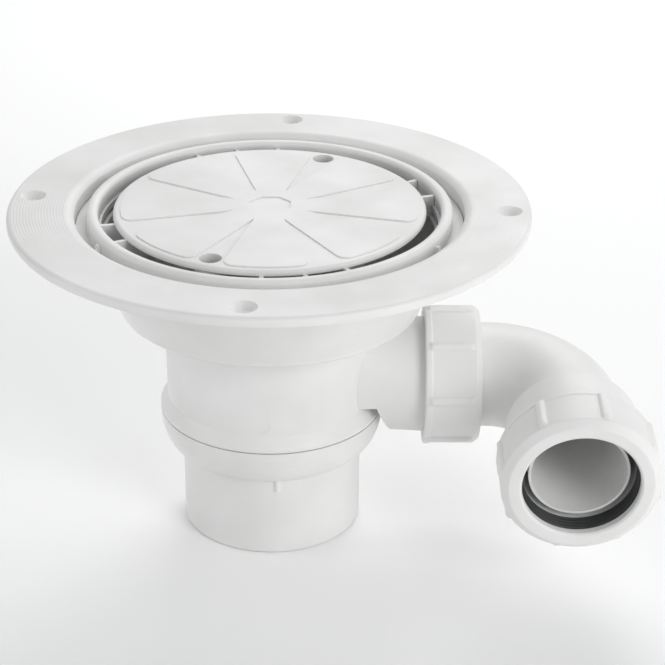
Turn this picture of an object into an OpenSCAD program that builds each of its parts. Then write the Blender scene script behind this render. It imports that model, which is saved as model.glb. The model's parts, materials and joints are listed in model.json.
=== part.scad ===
// Trapped shower outlet: flanged bowl with a clamp ring and cover plate, a removable dip tube
// that makes the water seal, a welded base cup, and a swivel bend held by a compression nut.
// Millimetres. Z is up the body axis from the underside of the cup, X runs along the side branch.

/* [Water seal] */
// Depth of the weir that sets the water level, below the flange's top
weir_depth = 74; // [72:0.1:76]
// Depth of water that the dip tube reaches below the weir
water_seal = 50; // [45:0.5:60]
// Space between the end of the dip tube and the floor of the cup
dip_gap = 8.5; // [6:0.5:14]

/* [Flange] */
// Width of the flange outside the throat
flange_w = 25.35; // [22:0.05:40]
// Thickness of the flange at its rim
flange_t = 4; // [3.5:0.5:6]
// Rounding of the rim's upper edge
rim_edge_r = 1.6; // [0.6:0.1:2]
// Thickness of the thin lip along the bottom of the rim
rim_lip_t = 1.2; // [0.8:0.1:1.6]
// How far the thin lip is set back from the rim
rim_lip_in = 0.7; // [0.3:0.1:1.5]
// Distance of the fixing holes from the rim
fix_in = 8.5; // [7:0.1:12]
// Number of fixing holes
fix_n = 4; // [3:1:8]
// Turn of the fixing holes from the branch direction, in degrees
fix_turn = -4.2; // [-20:0.1:20]
// Diameter of a fixing hole
fix_d = 5; // [4:0.1:6]
// Diameter of the countersink at the flange's top
fix_head_d = 10; // [8:0.1:12]
// Depth of the countersink
fix_head_h = 2.6; // [1.5:0.1:3]

/* [Throat and bowl] */
// Gap between clamp ring and throat, where the floor sheet is tucked in
tuck_gap = 4.65; // [3.5:0.05:7]
// Wall of the throat
throat_wall = 3; // [2.5:0.1:4]
// Radius of the rounded shoulder from the flange into the throat
shoulder_r = 4.5; // [4:0.1:6]
// Width of that shoulder, seen from above
shoulder_w = 3.75; // [2:0.05:3.9]
// Depth of the ledge that carries the clamp ring, below the flange's top
ledge_depth = 11; // [9:0.1:14]
// Width of the ledge
ledge_w = 11.15; // [10:0.05:12.5]
// Radius of the bowl's side, seen from the side
bowl_side_r = 55; // [50:1:80]
// Depth of the bowl's inner floor, below the flange's top
floor_depth = 38; // [36:0.5:41]
// Wall of the bowl, barrel and cup
wall = 3; // [2.5:0.1:3.5]
// Rounding of the bowl's lower edge
bowl_edge_r = 2.5; // [1:0.1:3]

/* [Barrel] */
// Outside diameter of the barrel
barrel_d = 83; // [81:0.5:86]
// Outside diameter of the joint collar
collar_d = 88.4; // [87.5:0.1:94]
// Depth of the joint between body and cup, below the flange's top
seam_depth = 85; // [84:0.5:88]
// Height of the flare above the joint
flare_h = 4.7; // [3:0.1:6]
// Height of the straight band between flare and joint
flare_band = 1.3; // [0.5:0.1:3]
// Length of the spigot that goes down into the cup
spigot_l = 8; // [5:0.5:9]
// Diameter of the round moulding mark on the barrel's front
mark_d = 6.6; // [4:0.1:8]
// Depth of that mark in the surface
mark_h = 0.25; // [0.1:0.05:0.5]
// Depth of the mark's centre, below the flange's top
mark_depth = 74.5; // [66:0.5:75]

/* [Base cup] */
// Outside diameter of the cup below its collar
cup_d = 71.2; // [68:0.2:74]
// Height of the collar's rounded underside
cup_round_h = 15; // [13:0.5:18]
// Thickness of the cup's floor
cup_floor = 3; // [2.5:0.1:4]
// Rounding of the cup's bottom edge
cup_edge_r = 1.4; // [0.5:0.1:2]
// Inner rounding between the cup's floor and its wall
cup_fillet = 3; // [1:0.5:4]
// Width of the open groove that shows at the joint
seam_gap = 0.5; // [0.2:0.1:0.8]
// Length of the small pip under the collar
pip_l = 6.4; // [4:0.1:8]
// Diameter of the small pip
pip_d = 2.4; // [1.6:0.1:3]

/* [Side branch] */
// Depth of the branch axis, below the flange's top
branch_depth = 73.4; // [72:0.1:76]
// Outside diameter of the branch hub
hub_d = 45.4; // [44:0.1:47]
// Wall of the branch hub
hub_wall = 3.4; // [3:0.1:4]
// Outside diameter of the threaded end
branch_thread_d = 48; // [47.2:0.1:48.4]
// Distance from the body axis to the end of the threaded end
branch_end_x = 74.5; // [73:0.1:75]
// Depth of the socket in the threaded end
branch_socket_l = 15; // [12:0.5:18]
// Outside diameter of the duct inside the barrel's line
duct_d = 48.8; // [46:0.2:50]
// Depth of the duct's centre there, below the flange's top
duct_depth = 69.9; // [69:0.1:72]
// Distance from the body axis at which those two hold
duct_x = 30; // [28:0.5:34]
// Where the duct starts to drop towards the hub, from the body axis
drop_x = 41.5; // [40:0.5:44]

/* [Swivel bend] */
// Outside diameter of the bend's pipe
pipe_d = 41.4; // [40:0.1:42]
// Wall of the bend's pipe
pipe_wall = 2.7; // [2:0.1:3.4]
// Radius of the bend, along the pipe's middle
bend_r = 31; // [29:0.5:33]
// Distance from the body axis to the bend's corner, where its two axes meet
outlet_x = 116.1; // [114:0.1:122]
// Swivel of the outlet below the horizontal, in degrees
swivel = 6.8; // [-20:0.5:60]
// Distance from the bend's corner to the outlet collar's back
tail_back = 36.4; // [35:0.1:38]
// Diameter of the outlet collar and its thread
tail_d = 51; // [50:0.1:52]
// Distance from the bend's corner to the end of the thread
tail_end = 64; // [62:0.5:66]
// Bore of the outlet socket, around the waste pipe
tail_bore_d = 43.6; // [43.2:0.1:44.4]
// Depth of the outlet socket
tail_socket_l = 20; // [16:0.5:23]
// Outside diameter of the inner tube that the waste pipe slides over
inner_tube_d = 38; // [37:0.1:39]
// Distance from the bend's corner to the inner tube's end
inner_tube_end = 65.1; // [64:0.1:72]

/* [Branch nut] */
// Outside diameter of the branch nut between its ribs
nut_d = 54.8; // [54:0.1:58]
// Length of the branch nut
nut_l = 22; // [21:0.5:24]
// Distance from the body axis to the branch nut's back
nut_x = 60.3; // [60:0.1:61]
// Thickness of the nut's front lip
nut_lip = 3.4; // [3:0.1:4]
// Chamfer of the nut's front edge, along the axis
nut_chamfer = 2.3; // [1:0.1:2.8]
// Rounding of the nut's back edge
nut_back_r = 1.2; // [0.5:0.1:1.4]
// Length of the raised band at the nut's back
nut_band = 2.4; // [1.6:0.1:4]
// Height of that band
nut_band_h = 0.35; // [0.1:0.05:0.8]

/* [Outlet nut] */
// Outside diameter of the outlet nut between its ribs
out_nut_d = 59.8; // [58:0.1:62]
// Length of the outlet nut
out_nut_l = 20.2; // [19:0.1:22]
// Distance from the bend's corner to the outlet nut's front face
out_nut_face = 74.1; // [73.5:0.1:76]
// Diameter of the opening in the outlet nut
out_open_d = 44.1; // [43.2:0.1:44.8]
// Chamfer of the outlet nut's front edge, along the axis
out_nut_chamfer = 2.5; // [1.5:0.1:3]
// Diameter of the outlet nut's flat front face
out_face_d = 54; // [52:0.1:56]

/* [Nut ribs] */
// Number of grip ribs on each nut
rib_n = 8; // [6:1:12]
// Diameter of the round that makes a rib
rib_d = 3.6; // [2.4:0.1:4]
// How far a rib stands out
rib_out = 1.5; // [0.8:0.1:1.7]
// Bare length between a rib's end and the nut's front
rib_bare = 3; // [2.8:0.1:4]

/* [Cover plate] */
// Diameter of the cover plate
plate_d = 119.8; // [112:0.2:140]
// Gap between plate and clamp ring, where the water runs in
inlet_gap = 5.6; // [4:0.1:8]
// Thickness of the plate under its raised panels
plate_t = 2.5; // [2:0.1:3]
// Rounding of the plate's upper edge
plate_edge_r = 1.4; // [0.5:0.1:1.8]
// Height of the raised panels
panel_h = 0.5; // [0.3:0.1:0.8]
// Number of raised panels
panel_n = 8; // [6:2:8]
// Distance of the panels from the plate's edge
panel_in = 2.9; // [2:0.1:5]
// Half of a panel's opening angle, in degrees
panel_angle = 14.3; // [10:0.1:15.5]
// Width that a panel's sides would keep at the plate's centre
panel_root = 4.3; // [2:0.1:4.6]
// Diameter of the bare middle of the plate
panel_hub_d = 18; // [14:0.5:24]
// Corner radius of a panel
panel_corner_r = 4; // [2:0.1:5]
// Distance of the two screw holes from the plate's edge
screw_in = 6.9; // [6.4:0.1:8]
// Diameter of the counterbore over each screw
screw_hole_d = 8.5; // [8.2:0.1:9]
// Outside diameter of the tube under each screw hole
screw_tube_d = 11.4; // [11:0.1:12]
// Depth of the tubes' ends, below the flange's top
tube_depth = 10; // [9:0.1:11]
// Depth of the seat for the screw head, below the flange's top
seat_depth = 7; // [6.4:0.1:7.5]
// Thickness of the locating vanes
vane_t = 1.6; // [1.2:0.1:2.2]
// Gap between the top of the plate and the top of the flange
plate_drop = 0.5; // [0.2:0.1:1]
// Depth of the stiffening ribs under the plate
stiff_h = 3; // [2:0.1:4]

/* [Cover screws] */
// Diameter of the screw head
head_d = 7.4; // [6.8:0.1:7.8]
// Height of the screw head
head_h = 2.3; // [2:0.1:2.6]
// Diameter of the screw shank
shank_d = 4; // [3.5:0.1:4.5]
// Length of the shank
shank_l = 14; // [12:0.5:16]
// Diameter of the body's screw posts
post_d = 9; // [8.5:0.1:10]

/* [Clamp ring] */
// Wall of the ring
ring_wall = 4.5; // [4:0.1:4.8]
// Gap between the top of the ring and the top of the flange
ring_drop = 0.4; // [0.2:0.1:1]
// Rounding of the ring's top edges
ring_edge_r = 1.9; // [1:0.1:1.95]
// Thickness of the ring's foot
foot_t = 2.4; // [2:0.1:3]
// Depth of the inner step that carries the vanes, below the flange's top
ring_step_depth = 7; // [6.6:0.1:7.6]
// Thickness of the gasket under the ring
gasket_t = 1.5; // [1:0.1:2]
// Half of the angle between the gussets on one side, in degrees
gusset_angle = 28; // [20:1:40]

/* [Dip tube] */
// Outside diameter of the tube
dip_d = 47; // [44:0.5:48]
// Wall of the tube
dip_wall = 2; // [1.6:0.1:2.4]
// Diameter of the rim that rests on the bowl's floor
dip_rim_d = 88; // [86:0.5:90]
// Thickness of that rim
dip_rim_t = 2.4; // [2:0.1:3]
// Length of the plug that seals in the barrel
plug_l = 8; // [7:0.5:9]
// Length of the cone between plug and tube
funnel_l = 16; // [10:1:18]
// Thickness of the lifting bar
bar_t = 2.4; // [2:0.1:3]
// Height of the lifting bar
bar_h = 9; // [6:0.5:10]
// Section of the seal ring on the plug
oring_d = 2.8; // [2.4:0.1:3]

/* [Clearances] */
// Radial gap of parts that are screwed, welded or pushed together
fit_gap = 0.05; // [0.02:0.01:0.1]
// Radial gap of parts that pass freely
free_gap = 0.3; // [0.2:0.05:0.4]

/* [Hidden] */
$fn = 96;
eps = 0.01;
over = 1;
overall_h = weir_depth + water_seal + dip_gap + cup_floor;
ring_d = plate_d + 2 * (inlet_gap + ring_wall);
throat_d = ring_d + 2 * tuck_gap;
flange_d = throat_d + 2 * flange_w;
bowl_d = throat_d - 2 * ledge_w + 2 * wall;
fix_pcd = flange_d - 2 * fix_in;
panel_d = plate_d - 2 * panel_in;
screw_pcd = plate_d - 2 * screw_in;
top_z = overall_h;
branch_z = top_z - branch_depth;
seam_z = top_z - seam_depth;
ledge_z = top_z - ledge_depth;
floor_z = top_z - floor_depth;
bowl_arc_x = bowl_d / 2 - bowl_side_r;
under_z = floor_z - wall;
bowl_low_z = under_z + bowl_edge_r;
barrel_in_r = barrel_d / 2 - wall;
spigot_r = barrel_d / 2 - fit_gap;
bowl_low_r = bowl_arc_x + sqrt(pow(bowl_side_r, 2) - pow(ledge_z - bowl_low_z, 2));
joint_z = ledge_z - throat_wall;
joint_in_a = -asin(throat_wall / (bowl_side_r - wall));
bowl_joint_r = bowl_out(joint_z);
bowl_joint_in = bowl_in(joint_z);
bowl_fillet = 2;
fillet_z = floor_z + bowl_fillet;
screw_angle = 180 / panel_n + 45;
screw_angles = [screw_angle, screw_angle + 180];
vane_angles = [-54, -39, 21, 36, 51];
vane_in_r = 46;
vane_deep = tube_depth + 1;
pipe_bore_r = pipe_d / 2 - pipe_wall;
lip_x = nut_x + nut_l - nut_lip;
slip_t = 1.5;
seal_x = branch_end_x;
mouth_w = 2;
front_turn = 4.7;
mark_turn = -3.5;
mould = [0.93, 0.93, 0.92];
rubber = [0.10, 0.10, 0.10];
steel = [0.66, 0.67, 0.68];

// Points on an arc in the section plane, from angle a to angle b
function arc(x, z, r, a, b, n = 8) = [for (i = [0:n]) let (t = a + (b - a) * i / n) [x + r * cos(t), z + r * sin(t)]];
// Points on a quarter ellipse, from (x + rx, z) to (x, z - rz)
function ellipse_down(x, z, rx, rz, n = 10) = [for (i = [0:n]) let (t = 90 * i / n) [x + rx * cos(t), z - rz * sin(t)]];
// Radius of the bowl's inside at a height
function bowl_in(z) = bowl_arc_x + sqrt(pow(bowl_side_r - wall, 2) - pow(ledge_z - z, 2));
// Radius of the bowl's outside at a height
function bowl_out(z) = bowl_arc_x + sqrt(pow(bowl_side_r, 2) - pow(ledge_z - z, 2));

module revolve(points) {
    rotate_extrude() polygon(points);
}

// Turns a shape that stands on Z to run along X from the body axis at the branch's height
module along_branch() {
    translate([0, 0, branch_z]) rotate([0, 90, 0]) children();
}

// Puts a shape that stands on Z on the outlet leg, which swings about the branch axis
module along_outlet() {
    translate([0, 0, branch_z]) rotate([swivel, 0, 0])
        translate([outlet_x, 0, 0]) rotate([90, 0, 0]) children();
}

module tube(d, bore, z0, z1) {
    difference() {
        translate([0, 0, z0]) cylinder(d = d, h = z1 - z0);
        translate([0, 0, z0 - over]) cylinder(d = bore, h = z1 - z0 + 2 * over);
    }
}

module flange() {
    r = flange_d / 2;
    flat_r = throat_d / 2 + shoulder_w;
    throat_out = throat_d / 2 + throat_wall;
    low_z = top_z - flange_t;
    color(mould) difference() {
        revolve(concat(
            arc(flat_r, top_z - shoulder_r, shoulder_r, 90, 90 + asin(shoulder_w / shoulder_r), 8),
            [[throat_d / 2, ledge_z]],
            arc(bowl_arc_x, ledge_z, bowl_side_r - wall, 0, joint_in_a, 2),
            [[bowl_joint_r, joint_z]],
            arc(throat_out - bowl_edge_r, joint_z + bowl_edge_r, bowl_edge_r, -90, 0, 5),
            [[throat_out, low_z], [r - rim_lip_in, low_z], [r - rim_lip_in, low_z + rim_lip_t], [r, low_z + rim_lip_t]],
            arc(r - rim_edge_r, top_z - rim_edge_r, rim_edge_r, 0, 90, 5)));
        for (i = [0:fix_n - 1]) rotate(fix_turn + 360 * i / fix_n) fixing_hole();
    }
}

module fixing_hole() {
    translate([fix_pcd / 2, 0, 0]) {
        translate([0, 0, top_z - flange_t - over]) cylinder(d = fix_d, h = flange_t + 2 * over);
        translate([0, 0, top_z - fix_head_h]) cylinder(d1 = fix_d, d2 = fix_head_d, h = fix_head_h);
        translate([0, 0, top_z - eps]) cylinder(d = fix_head_d, h = over);
    }
}

// Inner line of the bowl from its floor up to the joint with the throat
function bowl_line() = concat(
    arc(bowl_in(fillet_z) - bowl_fillet, fillet_z, bowl_fillet, -90, -30, 4),
    arc(bowl_arc_x, ledge_z, bowl_side_r - wall, -asin((ledge_z - fillet_z) / (bowl_side_r - wall)), joint_in_a, 10));

module bowl() {
    low_a = -asin((ledge_z - bowl_low_z) / bowl_side_r);
    neck_z = under_z - bowl_edge_r;
    color(mould) revolve(concat(
        [[barrel_in_r, neck_z], [barrel_in_r, floor_z]],
        bowl_line(),
        arc(bowl_arc_x, ledge_z, bowl_side_r, -asin((ledge_z - joint_z) / bowl_side_r), low_a, 10),
        arc(bowl_low_r - bowl_edge_r, bowl_low_z, bowl_edge_r, -30, -90, 4),
        arc(barrel_d / 2 + bowl_edge_r, neck_z, bowl_edge_r, 90, 180, 5)));
}

module barrel() {
    neck_z = under_z - bowl_edge_r;
    color(mould) difference() {
        revolve([[barrel_d / 2, neck_z], [barrel_d / 2, seam_z + flare_band + flare_h],
            [collar_d / 2, seam_z + flare_band], [collar_d / 2, seam_z], [spigot_r, seam_z],
            [spigot_r, seam_z - spigot_l], [barrel_in_r, seam_z - spigot_l], [barrel_in_r, neck_z]]);
        along_branch() duct_inside();
        rotate(mark_turn) translate([0, -barrel_d / 2 + mark_h, top_z - mark_depth])
            rotate([90, 0, 0]) cylinder(d = mark_d, h = 4);
    }
}

// Cone from the duct's section to the hub's circle, cut off below a floor line; it stands on Z with down at +X
module duct(thick, flat_depth, drop, from) {
    rise = branch_depth - duct_depth;
    run = nut_x - 1 - duct_x;
    tilt = atan(rise / run);
    length = run / cos(tilt);
    shrink = (duct_d - hub_d) / 2 / length;
    extra = 8;
    low = flat_depth - branch_depth;
    slope = hub_d / 2 - thick - low;
    intersection() {
        translate([-rise, 0, duct_x]) rotate([0, tilt, 0]) translate([0, 0, -extra])
            cylinder(r1 = duct_d / 2 - thick + shrink * extra, r2 = hub_d / 2 - thick - shrink * extra, h = length + 2 * extra);
        rotate([90, 0, 0]) translate([0, 0, -duct_d]) linear_extrude(2 * duct_d)
            polygon([[-duct_d, from], [low, from], [low, drop], [low + 0.75 * slope, drop + 5.6],
                [low + 0.92 * slope, drop + 7.2], [low + slope, drop + 9.6], [low + slope + 1, drop + 14],
                [low + slope + 1, nut_x + free_gap], [-duct_d, nut_x + free_gap]]);
    }
}

module duct_inside() {
    duct(hub_wall, weir_depth, drop_x + 2, duct_x - 6);
}

module side_branch() {
    color(mould) difference() {
        along_branch() {
            duct(0, weir_depth + wall, drop_x, duct_x);
            translate([0, 0, nut_x + free_gap]) cylinder(d = branch_thread_d, h = branch_end_x - nut_x - free_gap);
        }
        along_branch() {
            duct_inside();
            translate([0, 0, branch_end_x - branch_socket_l]) cylinder(d = pipe_d + 2 * free_gap, h = branch_socket_l + over);
            translate([0, 0, branch_end_x - mouth_w])
                cylinder(d1 = pipe_d + 2 * free_gap, d2 = pipe_d + 2 * free_gap + 2 * mouth_w + 2 * eps, h = mouth_w + eps);
        }
        translate([0, 0, seam_z]) cylinder(d = barrel_d, h = under_z - seam_z);
    }
}

// Post for a cover screw, tied to the bowl's side by a web
module screw_post(angle) {
    web_t = 2;
    web_low_z = floor_z + 7;
    color(mould) rotate(angle) difference() {
        intersection() {
            union() {
                translate([screw_pcd / 2, 0, floor_z]) cylinder(d = post_d, h = floor_depth - tube_depth);
                translate([screw_pcd / 2, -web_t / 2, web_low_z])
                    cube([bowl_d / 2 - screw_pcd / 2, web_t, joint_z - 1 - web_low_z]);
            }
            revolve(concat([[0, floor_z]], bowl_line(), [[bowl_joint_in, top_z], [0, top_z]]));
        }
        translate([screw_pcd / 2, 0, top_z - seat_depth - shank_l - 2])
            cylinder(d = shank_d + 2 * fit_gap, h = floor_depth);
    }
}

module screw_post_rear() {
    screw_post(screw_angles[0]);
}

module screw_post_front() {
    screw_post(screw_angles[1]);
}

module base_cup() {
    r = cup_d / 2;
    in_r = r - wall;
    top = seam_z - seam_gap;
    seat = seam_z - spigot_l;
    round_z = seam_z - 1.5;
    round_in_h = seat - (round_z - cup_round_h);
    color(mould) {
        revolve(concat(
            [[0, 0]],
            arc(r - cup_edge_r, cup_edge_r, cup_edge_r, -90, 0, 5),
            [for (p = [10:-1:0]) ellipse_down(r, round_z, collar_d / 2 - r, cup_round_h)[p]],
            [[collar_d / 2, top], [spigot_r + fit_gap, top], [spigot_r + fit_gap, seat], [barrel_in_r, seat]],
            ellipse_down(in_r, seat - eps, barrel_in_r - in_r, round_in_h),
            arc(in_r - cup_fillet, cup_floor + cup_fillet, cup_fillet, 0, -90, 5),
            [[0, cup_floor]]));
        rotate(front_turn) translate([0, -r + 0.1, seam_z - 1.5 - cup_round_h - pip_l + 1])
            cylinder(d = pip_d, h = pip_l);
    }
}

module ring_gasket() {
    color(rubber) tube(throat_d - 4 * free_gap, ring_d - 2 * ring_wall + 2 * fit_gap, ledge_z, ledge_z + gasket_t);
}

module clamp_ring() {
    out_r = ring_d / 2;
    in_r = out_r - ring_wall;
    foot_r = throat_d / 2 - free_gap;
    step_in = 0.9;
    low = ledge_z + gasket_t;
    high = top_z - ring_drop;
    gusset_w = 1.6;
    color(mould) {
        revolve(concat(
            [[in_r - step_in, low], [foot_r, low], [foot_r, low + foot_t], [out_r, low + foot_t]],
            arc(out_r - ring_edge_r, high - ring_edge_r, ring_edge_r, 0, 90, 6),
            arc(in_r + ring_edge_r, high - ring_edge_r, ring_edge_r, 90, 180, 6),
            [[in_r, top_z - ring_step_depth], [in_r - step_in, top_z - ring_step_depth]]));
        for (a = [gusset_angle, 180 - gusset_angle, 180 + gusset_angle, -gusset_angle])
            rotate(a) translate([0, gusset_w / 2, 0]) rotate([90, 0, 0]) linear_extrude(gusset_w)
                polygon([[out_r - 1, low + foot_t - 0.5], [foot_r - 0.6, low + foot_t - 0.5],
                         [foot_r - 0.6, low + foot_t], [out_r + 1.4, high - 2.6], [out_r - 1, high - 2.6]]);
    }
}

// Outline of one raised panel: straight sides, an outer arc and rounded outer corners
module panel_outline() {
    reach = panel_d / 2;
    c = panel_corner_r;
    across = panel_root / 2 * cos(panel_angle);
    along = sqrt(pow(reach - c, 2) - pow(across - c, 2));
    cx = along * cos(panel_angle) - (across - c) * sin(panel_angle);
    cy = along * sin(panel_angle) + (across - c) * cos(panel_angle);
    turn = atan2(cy, cx);
    root = sqrt(pow(panel_hub_d / 2, 2) - pow(across, 2));
    rx = root * cos(panel_angle) - across * sin(panel_angle);
    ry = root * sin(panel_angle) + across * cos(panel_angle);
    upper = arc(cx, cy, c, turn, panel_angle + 90, 6);
    polygon(concat(
        arc(0, 0, reach, -turn, turn, 10),
        [for (i = [1:6]) upper[i]],
        [[rx, ry], [rx, -ry]],
        [for (i = [6:-1:1]) [upper[i][0], -upper[i][1]]]));
}

// Thin upright vane that centres the plate in the clamp ring and rests on the ring's step
module vane() {
    ring_in = ring_d / 2 - ring_wall;
    reach = ring_in - free_gap;
    step_r = ring_in - 0.9 - free_gap;
    under = top_z - plate_drop - panel_h - plate_t;
    translate([0, vane_t / 2, 0]) rotate([90, 0, 0]) linear_extrude(vane_t)
        polygon([[vane_in_r, under + 0.5], [plate_d / 2 - 2, under + 0.5], [reach, top_z - ring_drop - 2.4],
                 [reach, top_z - ring_step_depth], [step_r, top_z - ring_step_depth],
                 [step_r, top_z - vane_deep], [vane_in_r + 4, top_z - vane_deep]]);
}

module cover_plate() {
    r = plate_d / 2;
    high = top_z - plate_drop - panel_h;
    under = high - plate_t;
    stiff_t = 1.6;
    color(mould) difference() {
        union() {
            revolve(concat([[0, under], [r - 0.5, under], [r, under + 0.5]],
                arc(r - plate_edge_r, high - plate_edge_r, plate_edge_r, 0, 90, 6), [[0, high]]));
            for (i = [0:panel_n - 1]) rotate(360 * i / panel_n)
                translate([0, 0, high - eps]) linear_extrude(panel_h + eps) panel_outline();
            for (a = screw_angles) rotate(a) translate([screw_pcd / 2, 0, top_z - tube_depth])
                cylinder(d = screw_tube_d, h = tube_depth - plate_drop - panel_h - 1);
            for (a = screw_angles, v = vane_angles) rotate(a + v) vane();
            for (i = [0:panel_n - 1]) rotate(360 * (i + 0.5) / panel_n)
                translate([8, -stiff_t / 2, under - stiff_h]) cube([vane_in_r - 8, stiff_t, stiff_h + 0.5]);
            translate([0, 0, -stiff_h]) tube(2 * vane_in_r + 2, 2 * vane_in_r - 1.2, under, under + stiff_h + 0.5);
            tube(20, 16, under - stiff_h, under + 0.5);
        }
        for (a = screw_angles) rotate(a) translate([screw_pcd / 2, 0, 0]) {
            translate([0, 0, top_z - seat_depth]) cylinder(d = screw_hole_d, h = seat_depth + over);
            translate([0, 0, top_z - tube_depth - over]) cylinder(d = shank_d + 2 * free_gap, h = tube_depth);
        }
    }
}

module cover_screw(angle) {
    seat = top_z - seat_depth;
    slot = 1;
    color(steel) rotate(angle) translate([screw_pcd / 2, 0, 0]) difference() {
        revolve(concat(
            [[0, seat - shank_l], [0.6, seat - shank_l], [shank_d / 2, seat - shank_l + 3],
             [shank_d / 2, seat], [head_d / 2, seat]],
            arc(head_d / 2 - 1.2, seat + head_h - 1.2, 1.2, 0, 90, 4),
            [[0, seat + head_h]]));
        for (t = [0, 90]) rotate(t + 20) translate([-head_d * 0.3, -slot / 2, seat + head_h - 1.3])
            cube([head_d * 0.6, slot, over + 1]);
    }
}

module cover_screw_rear() {
    cover_screw(screw_angles[0]);
}

module cover_screw_front() {
    cover_screw(screw_angles[1]);
}

module dip_tube() {
    rim_r = dip_rim_d / 2;
    plug_r = barrel_in_r - free_gap;
    tube_r = dip_d / 2;
    plug_low = floor_z - plug_l;
    cone_low = plug_low - funnel_l + 2;
    tube_low = top_z - weir_depth - water_seal;
    groove_z = floor_z - plug_l / 2;
    groove_r = barrel_in_r - oring_d - fit_gap;
    half = oring_d / 2 + fit_gap;
    plug_in = groove_r - dip_wall;
    color(mould) {
        revolve([[tube_r - dip_wall, tube_low], [tube_r, tube_low], [tube_r, cone_low],
            [plug_in + 1, plug_low], [plug_r, plug_low], [plug_r, groove_z - half], [groove_r, groove_z - half],
            [groove_r, groove_z + half], [plug_r, groove_z + half], [plug_r, floor_z], [rim_r, floor_z],
            [rim_r, floor_z + dip_rim_t - 0.8], [rim_r - 0.8, floor_z + dip_rim_t],
            [plug_in, floor_z + dip_rim_t], [plug_in, plug_low + 1.5], [tube_r - dip_wall, cone_low + 0.6]]);
        translate([-plug_in - eps, -bar_t / 2, floor_z + dip_rim_t - bar_h]) cube([2 * plug_in + 2 * eps, bar_t, bar_h]);
    }
}

module dip_tube_seal() {
    color(rubber) translate([0, 0, floor_z - plug_l / 2]) rotate_extrude()
        translate([barrel_in_r - oring_d / 2 - fit_gap / 2, 0]) circle(d = oring_d, $fn = 48);
}

// Grip ribs round a nut, from its back to just short of its front
module nut_ribs(d, length, turn) {
    for (i = [0:rib_n - 1]) rotate(turn + 360 * i / rib_n)
        translate([d / 2 + rib_out - rib_d / 2, 0, nut_back_r]) cylinder(d = rib_d, h = length - rib_bare - nut_back_r, $fn = 24);
}

// Nut standing on Z with its back at 0: thread bore, front lip, back band, chamfer and ribs
module nut(d, length, bore, open_d, lip, chamfer, face_d, turn) {
    band_r = d / 2 + nut_band_h;
    difference() {
        union() {
            revolve(concat(
                [[0, 0]],
                arc(band_r - nut_back_r, nut_back_r, nut_back_r, -90, 0, 4),
                [[band_r, nut_band - nut_band_h], [d / 2, nut_band], [d / 2, length - chamfer],
                 [face_d / 2, length], [0, length]]));
            nut_ribs(d, length, turn);
        }
        translate([0, 0, -over]) cylinder(d = bore, h = length - lip + over);
        translate([0, 0, length - lip - over]) cylinder(d = open_d, h = lip + 2 * over);
        translate([0, 0, length - 0.8]) cylinder(d1 = open_d, d2 = open_d + 1.6 + 2 * eps, h = 0.8 + eps);
        translate([0, 0, -eps]) cylinder(d1 = bore + 1.6, d2 = bore, h = 0.8);
    }
}

module branch_nut() {
    color(mould) along_branch() translate([0, 0, nut_x])
        nut(nut_d, nut_l, branch_thread_d + 2 * fit_gap, pipe_d + 2 * free_gap, nut_lip, nut_chamfer, nut_d - 3.2, 5.5);
}

module branch_slip_ring() {
    color(mould) along_branch() tube(branch_thread_d - 2 * fit_gap, pipe_d + 2 * free_gap, lip_x - slip_t, lip_x);
}

module branch_seal() {
    in_r = pipe_d / 2 + fit_gap;
    out_r = branch_thread_d / 2 - fit_gap;
    nose = pipe_d / 2 + free_gap - fit_gap;
    color(rubber) along_branch() revolve([[in_r, seal_x - mouth_w], [nose, seal_x - mouth_w],
        [nose + mouth_w, seal_x], [out_r, seal_x], [out_r, lip_x - slip_t], [in_r, lip_x - slip_t]]);
}

module swivel_bend() {
    socket_z = tail_end - tail_socket_l;
    color(mould) {
        translate([0, 0, branch_z]) rotate([swivel, 0, 0]) {
            rotate([0, 90, 0]) tube(pipe_d, 2 * pipe_bore_r, branch_end_x - branch_socket_l + 2 * free_gap, outlet_x - bend_r);
            translate([outlet_x - bend_r, -bend_r, 0]) rotate_extrude(angle = 90) translate([bend_r, 0]) difference() {
                circle(d = pipe_d);
                circle(r = pipe_bore_r);
            }
        }
        along_outlet() {
            tube(inner_tube_d, 2 * pipe_bore_r, socket_z - over, inner_tube_end);
            difference() {
                union() {
                    translate([0, 0, bend_r]) cylinder(d = pipe_d, h = tail_back - bend_r + over);
                    translate([0, 0, tail_back]) cylinder(d = tail_d, h = tail_end - tail_back);
                }
                translate([0, 0, bend_r - over]) cylinder(r = pipe_bore_r, h = tail_end);
                translate([0, 0, socket_z]) cylinder(d = tail_bore_d, h = tail_socket_l + over);
            }
        }
    }
}

module outlet_nut() {
    color(mould) along_outlet() translate([0, 0, out_nut_face - out_nut_l])
        nut(out_nut_d, out_nut_l, tail_d + 2 * fit_gap, out_open_d, nut_lip, out_nut_chamfer, out_face_d, -13.6);
}

// Ribbed rubber ring between the threaded end and the nut's lip
module outlet_seal() {
    in_r = out_open_d / 2 - 0.8;
    out_r = tail_d / 2 - fit_gap;
    low = tail_end;
    high = out_nut_face - nut_lip;
    ribs = 4;
    pitch = (high - low) / ribs;
    rib_h = 0.6;
    color(rubber) along_outlet() revolve(concat(
        [[out_r, high], [out_r, low]],
        [for (i = [0:ribs - 1], k = [0, 1]) k == 0 ? [in_r + rib_h, low + pitch * i] : [in_r, low + pitch * (i + 0.5)]],
        [[in_r + rib_h, high]]));
}

flange();
bowl();
barrel();
side_branch();
screw_post_rear();
screw_post_front();
base_cup();
ring_gasket();
clamp_ring();
cover_plate();
cover_screw_rear();
cover_screw_front();
dip_tube();
dip_tube_seal();
branch_nut();
branch_slip_ring();
branch_seal();
swivel_bend();
outlet_nut();
outlet_seal();
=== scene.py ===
import json
import math
import bpy
import numpy as np
from mathutils import Matrix, Vector


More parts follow.
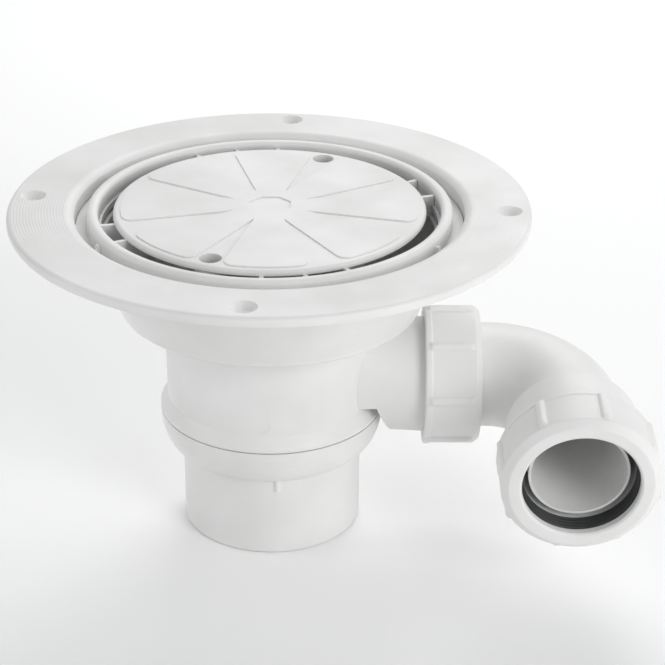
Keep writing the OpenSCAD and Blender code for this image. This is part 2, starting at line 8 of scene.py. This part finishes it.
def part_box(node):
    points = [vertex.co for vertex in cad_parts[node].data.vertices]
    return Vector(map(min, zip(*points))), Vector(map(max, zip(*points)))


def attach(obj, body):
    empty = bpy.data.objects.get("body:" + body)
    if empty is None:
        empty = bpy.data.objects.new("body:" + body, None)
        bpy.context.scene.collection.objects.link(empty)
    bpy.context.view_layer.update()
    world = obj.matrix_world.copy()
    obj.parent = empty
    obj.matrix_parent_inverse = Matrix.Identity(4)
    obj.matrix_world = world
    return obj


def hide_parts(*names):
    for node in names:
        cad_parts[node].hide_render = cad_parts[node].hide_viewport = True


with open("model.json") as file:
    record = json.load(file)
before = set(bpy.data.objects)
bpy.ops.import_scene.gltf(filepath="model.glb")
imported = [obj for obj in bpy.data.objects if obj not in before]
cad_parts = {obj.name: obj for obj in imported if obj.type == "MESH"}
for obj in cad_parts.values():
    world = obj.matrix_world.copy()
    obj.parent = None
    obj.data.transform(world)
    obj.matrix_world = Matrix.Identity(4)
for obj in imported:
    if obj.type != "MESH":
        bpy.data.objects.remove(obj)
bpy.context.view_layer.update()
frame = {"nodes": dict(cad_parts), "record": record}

mm = 0.001
turn = 2 * math.pi


# camera: fitted to the circles of the photographed flange, cover, barrel, cup and nuts
photoView = {
    "imageSize": 665,
    "focalPixels": 2000.0,
    "azimuth": -0.33,
    "elevation": 26.5,
    "roll": 0.0065,
    "distance": 790 * mm,
    "target": (24.26 * mm, 0.0, 80.3 * mm),
    "sensor": 36.0,
}


def setCamera(view):
    azimuth, elevation = math.radians(view["azimuth"]), math.radians(view["elevation"])
    back = Vector((math.sin(azimuth) * math.cos(elevation), -math.cos(azimuth) * math.cos(elevation), math.sin(elevation)))
    right = Vector((math.cos(azimuth), math.sin(azimuth), 0.0))
    up = back.cross(right)
    rolledRight = right * math.cos(view["roll"]) + up * math.sin(view["roll"])
    rolledUp = up * math.cos(view["roll"]) - right * math.sin(view["roll"])
    place = Vector(view["target"]) + back * view["distance"]
    camera = bpy.data.objects.new("photoCamera", bpy.data.cameras.new("photoCamera"))
    camera.data.sensor_fit = "HORIZONTAL"
    camera.data.sensor_width = view["sensor"]
    camera.data.lens = view["focalPixels"] * view["sensor"] / view["imageSize"]
    camera.data.clip_start, camera.data.clip_end = 0.05, 20.0
    rows = [[rolledRight[i], rolledUp[i], back[i], place[i]] for i in range(3)] + [[0, 0, 0, 1]]
    camera.matrix_world = Matrix(rows)
    bpy.context.scene.collection.objects.link(camera)
    bpy.context.scene.camera = camera
    print("camera set")


setCamera(photoView)
bpy.context.scene.view_settings.view_transform = "Standard"  # as the photograph, whose white floor is at full white


# sRGB hex to linear colour: the lower part is a straight line, the rest a power of 2.4
def hexToLinear(code):
    values = [int(code[i:i + 2], 16) / 255 for i in (1, 3, 5)]
    return tuple(v / 12.92 if v <= 0.04045 else ((v + 0.055) / 1.055) ** 2.4 for v in values) + (1.0,)


# one node with its settings (attributes by name, sockets by name or number) and its links
def addNode(tree, kind, settings=None, links=None):
    node = tree.nodes.new(kind)
    for key, value in (settings or {}).items():
        if isinstance(key, str) and hasattr(node, key):
            setattr(node, key, value)
        else:
            node.inputs[key].default_value = value
    for key, source in (links or {}).items():
        tree.links.new(source, node.inputs[key])
    return node


# an empty material with its shader; constant values go straight on the shader's sockets
def startMaterial(name, values):
    material = bpy.data.materials.new(name)
    material.use_nodes = True
    tree = material.node_tree
    tree.nodes.clear()
    shader = addNode(tree, "ShaderNodeBsdfPrincipled", values)
    addNode(tree, "ShaderNodeOutputMaterial", None, {"Surface": shader.outputs[0]})
    return material, tree, shader


# Moulded polypropylene: white, faintly translucent, satin. The eye gets soft edges where light
# comes through, a grain finer than a hair, and a slow unevenness of gloss from the mould.
whiteMoulding = {
    "light": "#eeeeed",
    "dark": "#e4e4e2",
    "patch": 38 * mm,
    "roughness": (0.46, 0.58),
    "grainSize": 0.9 * mm,  # real grain is about 0.1 mm, drawn coarser so that it shows
    "grainHeight": 0.006 * mm,
    "waveSize": 16 * mm,
    "waveHeight": 0.03 * mm,
    "linePitch": 1.15 * mm,
    "lineHeight": 0.02 * mm,
}


# grain and slow waves for every moulding; with lines=True also the turning marks that the mould's
# lathe left on flat faces: a sine of the distance from the body axis, only where the face looks up
def mouldedPolypropylene(name, look, lines=False, tint=None):
    light, dark = tint or (look["light"], look["dark"])
    material, tree, shader = startMaterial(name, {
        "IOR": 1.49,
        "Subsurface Weight": 0.12,
        "Subsurface Radius": (1.0, 0.95, 0.9),
        "Subsurface Scale": 1.6 * mm,
    })
    place = addNode(tree, "ShaderNodeTexCoord").outputs["Object"]
    patches = addNode(tree, "ShaderNodeTexNoise", {"Scale": 1 / look["patch"], "Detail": 3.0, "Roughness": 0.5}, {"Vector": place})
    colours = addNode(tree, "ShaderNodeMix", {"data_type": "RGBA", 6: hexToLinear(dark), 7: hexToLinear(light)})
    spread = addNode(tree, "ShaderNodeMapRange", {"From Min": 0.3, "From Max": 0.7}, {"Value": patches.outputs["Fac"]})
    tree.links.new(spread.outputs[0], colours.inputs[0])
    tree.links.new(colours.outputs[2], shader.inputs["Base Color"])
    low, high = look["roughness"]
    gloss = addNode(tree, "ShaderNodeMapRange", {"From Min": 0.35, "From Max": 0.65, "To Min": high, "To Max": low},
                    {"Value": patches.outputs["Fac"]})
    tree.links.new(gloss.outputs[0], shader.inputs["Roughness"])
    grain = addNode(tree, "ShaderNodeTexNoise", {"Scale": 1 / look["grainSize"], "Detail": 2.0}, {"Vector": place})
    waves = addNode(tree, "ShaderNodeTexNoise", {"Scale": 1 / look["waveSize"], "Detail": 1.0}, {"Vector": place})
    slow = addNode(tree, "ShaderNodeBump", {"Strength": 1.0, "Distance": look["waveHeight"]}, {"Height": waves.outputs["Fac"]})
    fine = addNode(tree, "ShaderNodeBump", {"Strength": 1.0, "Distance": look["grainHeight"]},
                   {"Height": grain.outputs["Fac"], "Normal": slow.outputs[0]})
    last = fine
    if lines:
        flat = addNode(tree, "ShaderNodeVectorMath", {"operation": "MULTIPLY", 1: (1.0, 1.0, 0.0)}, {0: place})
        reach = addNode(tree, "ShaderNodeVectorMath", {"operation": "LENGTH"}, {0: flat.outputs[0]})
        phase = addNode(tree, "ShaderNodeMath", {"operation": "MULTIPLY", 1: turn / look["linePitch"]}, {0: reach.outputs["Value"]})
        ripple = addNode(tree, "ShaderNodeMath", {"operation": "SINE"}, {0: phase.outputs[0]})
        facing = addNode(tree, "ShaderNodeSeparateXYZ", None, {0: addNode(tree, "ShaderNodeNewGeometry").outputs["True Normal"]})
        level = addNode(tree, "ShaderNodeMapRange", {"From Min": 0.96, "From Max": 0.995}, {"Value": facing.outputs["Z"]})
        marks = addNode(tree, "ShaderNodeMath", {"operation": "MULTIPLY"}, {0: ripple.outputs[0], 1: level.outputs[0]})
        last = addNode(tree, "ShaderNodeBump", {"Strength": 1.0, "Distance": look["lineHeight"]},
                       {"Height": marks.outputs[0], "Normal": fine.outputs[0]})
    tree.links.new(last.outputs[0], shader.inputs["Normal"])
    return material


# Moulded rubber (EPDM): near black with a grey bloom, matt; the bloom lightens it in soft patches.
sealRubber = {"base": "#1b1c1d", "bloom": "#333536", "patch": 7 * mm, "roughness": (0.5, 0.68), "grainSize": 0.7 * mm, "grainHeight": 0.015 * mm}


def mouldedRubber(name, look):
    material, tree, shader = startMaterial(name, {"IOR": 1.52})
    place = addNode(tree, "ShaderNodeTexCoord").outputs["Object"]
    bloom = addNode(tree, "ShaderNodeTexNoise", {"Scale": 1 / look["patch"], "Detail": 4.0, "Roughness": 0.6}, {"Vector": place})
    share = addNode(tree, "ShaderNodeMapRange", {"From Min": 0.4, "From Max": 0.72}, {"Value": bloom.outputs["Fac"]})
    colours = addNode(tree, "ShaderNodeMix", {"data_type": "RGBA", 6: hexToLinear(look["base"]), 7: hexToLinear(look["bloom"])},
                      {0: share.outputs[0]})
    tree.links.new(colours.outputs[2], shader.inputs["Base Color"])
    low, high = look["roughness"]
    gloss = addNode(tree, "ShaderNodeMapRange", {"To Min": low, "To Max": high}, {"Value": share.outputs[0]})
    tree.links.new(gloss.outputs[0], shader.inputs["Roughness"])
    grain = addNode(tree, "ShaderNodeTexNoise", {"Scale": 1 / look["grainSize"], "Detail": 2.0}, {"Vector": place})
    bump = addNode(tree, "ShaderNodeBump", {"Strength": 1.0, "Distance": look["grainHeight"]}, {"Height": grain.outputs["Fac"]})
    tree.links.new(bump.outputs[0], shader.inputs["Normal"])
    return material


# Zinc-plated steel, rolled thread and pressed recess: a bright warm grey metal with faint clouds
# where the plating has dulled.
zincPlate = {"bright": "#9d9c97", "dull": "#6b6a66", "patch": 2.2 * mm, "roughness": (0.28, 0.5)}


def platedSteel(name, look):
    material, tree, shader = startMaterial(name, {"Metallic": 1.0})
    place = addNode(tree, "ShaderNodeTexCoord").outputs["Object"]
    clouds = addNode(tree, "ShaderNodeTexNoise", {"Scale": 1 / look["patch"], "Detail": 5.0, "Roughness": 0.6}, {"Vector": place})
    share = addNode(tree, "ShaderNodeMapRange", {"From Min": 0.38, "From Max": 0.66}, {"Value": clouds.outputs["Fac"]})
    colours = addNode(tree, "ShaderNodeMix", {"data_type": "RGBA", 6: hexToLinear(look["bright"]), 7: hexToLinear(look["dull"])},
                      {0: share.outputs[0]})
    tree.links.new(colours.outputs[2], shader.inputs["Base Color"])
    low, high = look["roughness"]
    gloss = addNode(tree, "ShaderNodeMapRange", {"To Min": low, "To Max": high}, {"Value": share.outputs[0]})
    tree.links.new(gloss.outputs[0], shader.inputs["Roughness"])
    return material


plainPlastic = mouldedPolypropylene("mouldedPolypropylene", whiteMoulding)
turnedPlastic = mouldedPolypropylene("turnedPolypropylene", whiteMoulding, lines=True)
coverPlastic = mouldedPolypropylene("coverPolypropylene", whiteMoulding, tint=("#ececeb", "#e1e1df"))
rubber = mouldedRubber("mouldedRubber", sealRubber)
zinc = platedSteel("zincPlatedSteel", zincPlate)
print("materials made")

finishOf = {"flange": turnedPlastic, "cover_plate": coverPlastic,
            "cover_screw_rear": zinc, "cover_screw_front": zinc,
            "ring_gasket": rubber, "dip_tube_seal": rubber, "branch_seal": rubber, "outlet_seal": rubber}
for name, node in frame["nodes"].items():
    finish = finishOf.get(name, plainPlastic)
    if not node.material_slots:
        node.data.materials.append(finish)
    for place in node.material_slots:
        place.material = finish
print("frame nodes finished:", len(frame["nodes"]))


# the branch axis runs along +X at the swivel's height; the outlet axis comes from the waste pipe's mount
mounts = {mount["name"]: mount for mount in frame["record"]["mounts"]}
outletFace = np.array(mounts["waste_pipe"]["pos_m"], float)
outletAxis = np.array(mounts["waste_pipe"]["axis"], float)
branchHeight = (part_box("branch_nut")[0][2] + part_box("branch_nut")[1][2]) / 2
branchNutBack = np.array([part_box("branch_nut")[0][0], 0.0, branchHeight])


# a closed surface of revolution with a free radius: rows run round a closed section, columns round the axis
def ringMesh(name, radius, along, origin, axis, sideways, material, body):
    axis = np.array(axis) / np.linalg.norm(axis)
    sideways = np.array(sideways) - axis * np.dot(sideways, axis)
    sideways = sideways / np.linalg.norm(sideways)
    third = np.cross(axis, sideways)
    rows, columns = radius.shape
    angle = np.linspace(0, turn, columns, endpoint=False)
    spokes = np.cos(angle)[:, None] * sideways + np.sin(angle)[:, None] * third
    points = origin + along[..., None] * axis + radius[..., None] * spokes[None]
    i, j = np.meshgrid(np.arange(rows), np.arange(columns), indexing="ij")
    nextRow, nextColumn = (i + 1) % rows, (j + 1) % columns
    faces = np.stack([i * columns + j, i * columns + nextColumn, nextRow * columns + nextColumn, nextRow * columns + j], axis=-1)
    mesh = bpy.data.meshes.new(name)
    mesh.from_pydata(points.reshape(-1, 3).tolist(), [], faces.reshape(-1, 4).tolist())
    mesh.shade_smooth()
    mesh.materials.append(material)
    piece = bpy.data.objects.new(name, mesh)
    bpy.context.scene.collection.objects.link(piece)
    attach(piece, body)
    return piece


# evenly spaced points on a polyline (z, r) with its corners rounded: a quadratic curve cuts each
# corner at the given distance, or at less than half of the shorter neighbour side
def roundedSection(corners, steps):
    points = []
    count = len(corners)
    for k in range(count):
        z, r, cut = corners[k]
        here = np.array([z, r])
        before, after = (np.array(corners[(k + s) % count][:2]) for s in (-1, 1))
        short = 0.48 * min(np.linalg.norm(before - here), np.linalg.norm(after - here))
        reach = min(cut, short)
        start = here + (before - here) / np.linalg.norm(before - here) * reach
        end = here + (after - here) / np.linalg.norm(after - here) * reach
        t = np.linspace(0, 1, steps)[:, None]
        points.append((1 - t) ** 2 * start + 2 * t * (1 - t) * here + t ** 2 * end)
    return np.concatenate(points)


# long straight sides of a section get points of their own, so that ribs and marks have faces to bend
def refineSection(points, longest):
    after = np.roll(points, -1, axis=0)
    gaps = np.maximum(1, np.ceil(np.linalg.norm(after - points, axis=1) / longest)).astype(int)
    return np.concatenate([points[k] + (after[k] - points[k]) * (np.arange(n) / n)[:, None] for k, n in enumerate(gaps)])


branchNut = {"name": "branchNutShell", "outside": 27.4 * mm, "length": 22 * mm, "thread": 24.05 * mm, "opening": 21.0 * mm,
             "lip": 3.4 * mm, "chamfer": (2.3 * mm, 1.6 * mm), "band": (2.4 * mm, 0.35 * mm), "firstRib": -4.7}
outletNut = {"name": "outletNutShell", "outside": 29.9 * mm, "length": 20.2 * mm, "thread": 25.55 * mm, "opening": 22.05 * mm,
             "lip": 3.4 * mm, "chamfer": (2.5 * mm, 2.9 * mm), "band": (2.4 * mm, 0.35 * mm), "firstRib": -13.6}
gripRibs = {"count": 8, "round": 1.8 * mm, "standOut": 1.5 * mm, "fromBack": 1.5 * mm, "fromFront": 3.0 * mm,
            "endRound": 1.6 * mm, "fillet": 0.45 * mm}


# nut: a rounded section carried round the axis; on the outside each rib adds a half-round ridge.
# Ridge height at sideways distance t from a rib's middle is sqrt(rr^2 - t^2) - (rr - out), joined to
# the nut's side by a smooth maximum, and it fades on a quarter circle at both ends.
def makeNut(nut, ribs, origin, axis, sideways, body, replaced, material):
    length, outside = nut["length"], nut["outside"]
    chamferLong, chamferDeep = nut["chamfer"]
    bandLong, bandHigh = nut["band"]
    bevel = 0.8 * mm
    corners = [
        (0, nut["thread"] + bevel, 0.2 * mm), (0, outside + bandHigh, 1.0 * mm),
        (bandLong, outside + bandHigh, 0.15 * mm), (bandLong + bandHigh, outside, 0.2 * mm),
        (length - chamferLong, outside, 0.45 * mm), (length, outside - chamferDeep, 0.4 * mm),
        (length, nut["opening"] + bevel, 0.3 * mm), (length - bevel, nut["opening"], 0.3 * mm),
        (length - nut["lip"], nut["opening"], 0.2 * mm), (length - nut["lip"], nut["thread"], 0.2 * mm),
        (bevel, nut["thread"], 0.2 * mm),
    ]
    section = refineSection(roundedSection(corners, 6), 0.75 * mm)
    along, radius = section[:, 0], section[:, 1]
    columns = 720
    angle = np.linspace(0, turn, columns, endpoint=False)
    step = turn / ribs["count"]
    offset = (angle - math.radians(nut["firstRib"]) + step / 2) % step - step / 2
    aside = offset * outside
    rr, out = ribs["round"], ribs["standOut"]
    height = np.sqrt(np.maximum(rr ** 2 - aside ** 2, 0)) - (rr - out)
    height = np.where(np.abs(aside) < rr, height, -(rr - out))
    soft = ribs["fillet"]
    height = np.where(height > -soft, (height + np.sqrt(height ** 2 + soft ** 2)) / 2, 0) * (np.abs(aside) < rr * 1.5)
    start, stop, ends = ribs["fromBack"], length - ribs["fromFront"], ribs["endRound"]
    inside = np.clip(np.minimum(along - start, stop - along) / ends, 0, 1)
    fade = np.sqrt(1 - (1 - inside) ** 2)
    outer = radius > outside - 0.05 * mm
    grown = np.maximum(radius[:, None], (outside + height[None] * fade[:, None])) * outer[:, None] + radius[:, None] * ~outer[:, None]
    piece = ringMesh(nut["name"], grown, np.repeat(along[:, None], columns, 1), origin, axis, sideways, material, body)
    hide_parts(replaced)
    print(nut["name"], "made:", len(piece.data.polygons), "faces")
    return piece


makeNut(branchNut, gripRibs, branchNutBack, (1, 0, 0), (0, 0, -1), "trap", "branch_nut", plainPlastic)
makeNut(outletNut, gripRibs, outletFace - outletAxis * outletNut["length"], outletAxis, (1, 0, 0), "bend", "outlet_nut", plainPlastic)


# seal: its bore is a wave, so the rubber shows four rounded ribs inside the nut's lip
ribbedSeal = {"name": "ribbedSeal", "inside": 21.3 * mm, "outside": 25.4 * mm, "ribs": 4, "ribHeight": 0.6 * mm,
              "fromFace": (10.1 * mm, 3.4 * mm), "edge": 0.4 * mm}


# seal section: a straight outside, rounded edges, and a bore of inside + height * (1 + cos) / 2
def makeSeal(seal, origin, axis, sideways, material):
    deep, shallow = seal["fromFace"]
    z = np.linspace(-deep, -shallow, 97)
    wave = seal["inside"] + seal["ribHeight"] * (1 + np.cos(turn * seal["ribs"] * (z + deep) / (deep - shallow))) / 2
    edge = seal["edge"]
    along = np.concatenate([z[::-1], [-deep, -deep + edge, -shallow - edge, -shallow]])
    radius = np.concatenate([wave[::-1], [seal["outside"] - edge, seal["outside"], seal["outside"], seal["outside"] - edge]])
    columns = 240
    piece = ringMesh(seal["name"], np.repeat(radius[:, None], columns, 1), np.repeat(along[:, None], columns, 1),
                     origin, axis, sideways, material, "bend")
    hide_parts("outlet_seal")
    print("seal made:", len(piece.data.polygons), "faces")


makeSeal(ribbedSeal, outletFace, outletAxis, (1, 0, 0), rubber)


stage = {"size": 3.0, "light": "#ffffff", "shade": "#f7f7f7", "patch": 0.4}
vertices = np.array([[-1, -1, 0], [1, -1, 0], [1, 1, 0], [-1, 1, 0]]) * stage["size"]
mesh = bpy.data.meshes.new("paleFloor")
mesh.from_pydata(vertices.tolist(), [], [(0, 1, 2, 3)])
floor = bpy.data.objects.new("paleFloor", mesh)
bpy.context.scene.collection.objects.link(floor)
mesh.materials.append(startMaterial("paleFloor", {"Base Color": hexToLinear(stage["light"]), "Roughness": 0.9})[0])
print("floor made")

room = {"colour": "#fafbfc", "strength": 0.45}
world = bpy.data.worlds.new("softRoom")
bpy.context.scene.world = world
world.use_nodes = True
world.node_tree.nodes["Background"].inputs[0].default_value = hexToLinear(room["colour"])
world.node_tree.nodes["Background"].inputs[1].default_value = room["strength"]


def softBox(name, place, aim, size, watts):
    light = bpy.data.lights.new(name, "AREA")
    light.shape, light.size, light.size_y, light.energy = "RECTANGLE", size[0], size[1], watts
    lamp = bpy.data.objects.new(name, light)
    lamp.location = place
    lamp.rotation_euler = (Vector(aim) - Vector(place)).to_track_quat("-Z", "Y").to_euler()
    bpy.context.scene.collection.objects.link(lamp)


softBox("backLight", (0.2, 1.0, 0.9), (0, 0, 0.08), (0.8, 0.6), 7.2)
softBox("rightLight", (1.2, -0.25, 0.5), (0, 0, 0.06), (0.6, 0.9), 1.7)
softBox("rightFrontLight", (0.85, -1.0, 0.6), (0, 0, 0.06), (0.6, 0.8), 7.2)
softBox("leftLight", (-1.3, 0.0, 0.45), (0, 0, 0.06), (0.6, 0.9), 3.5)
print("lights set")
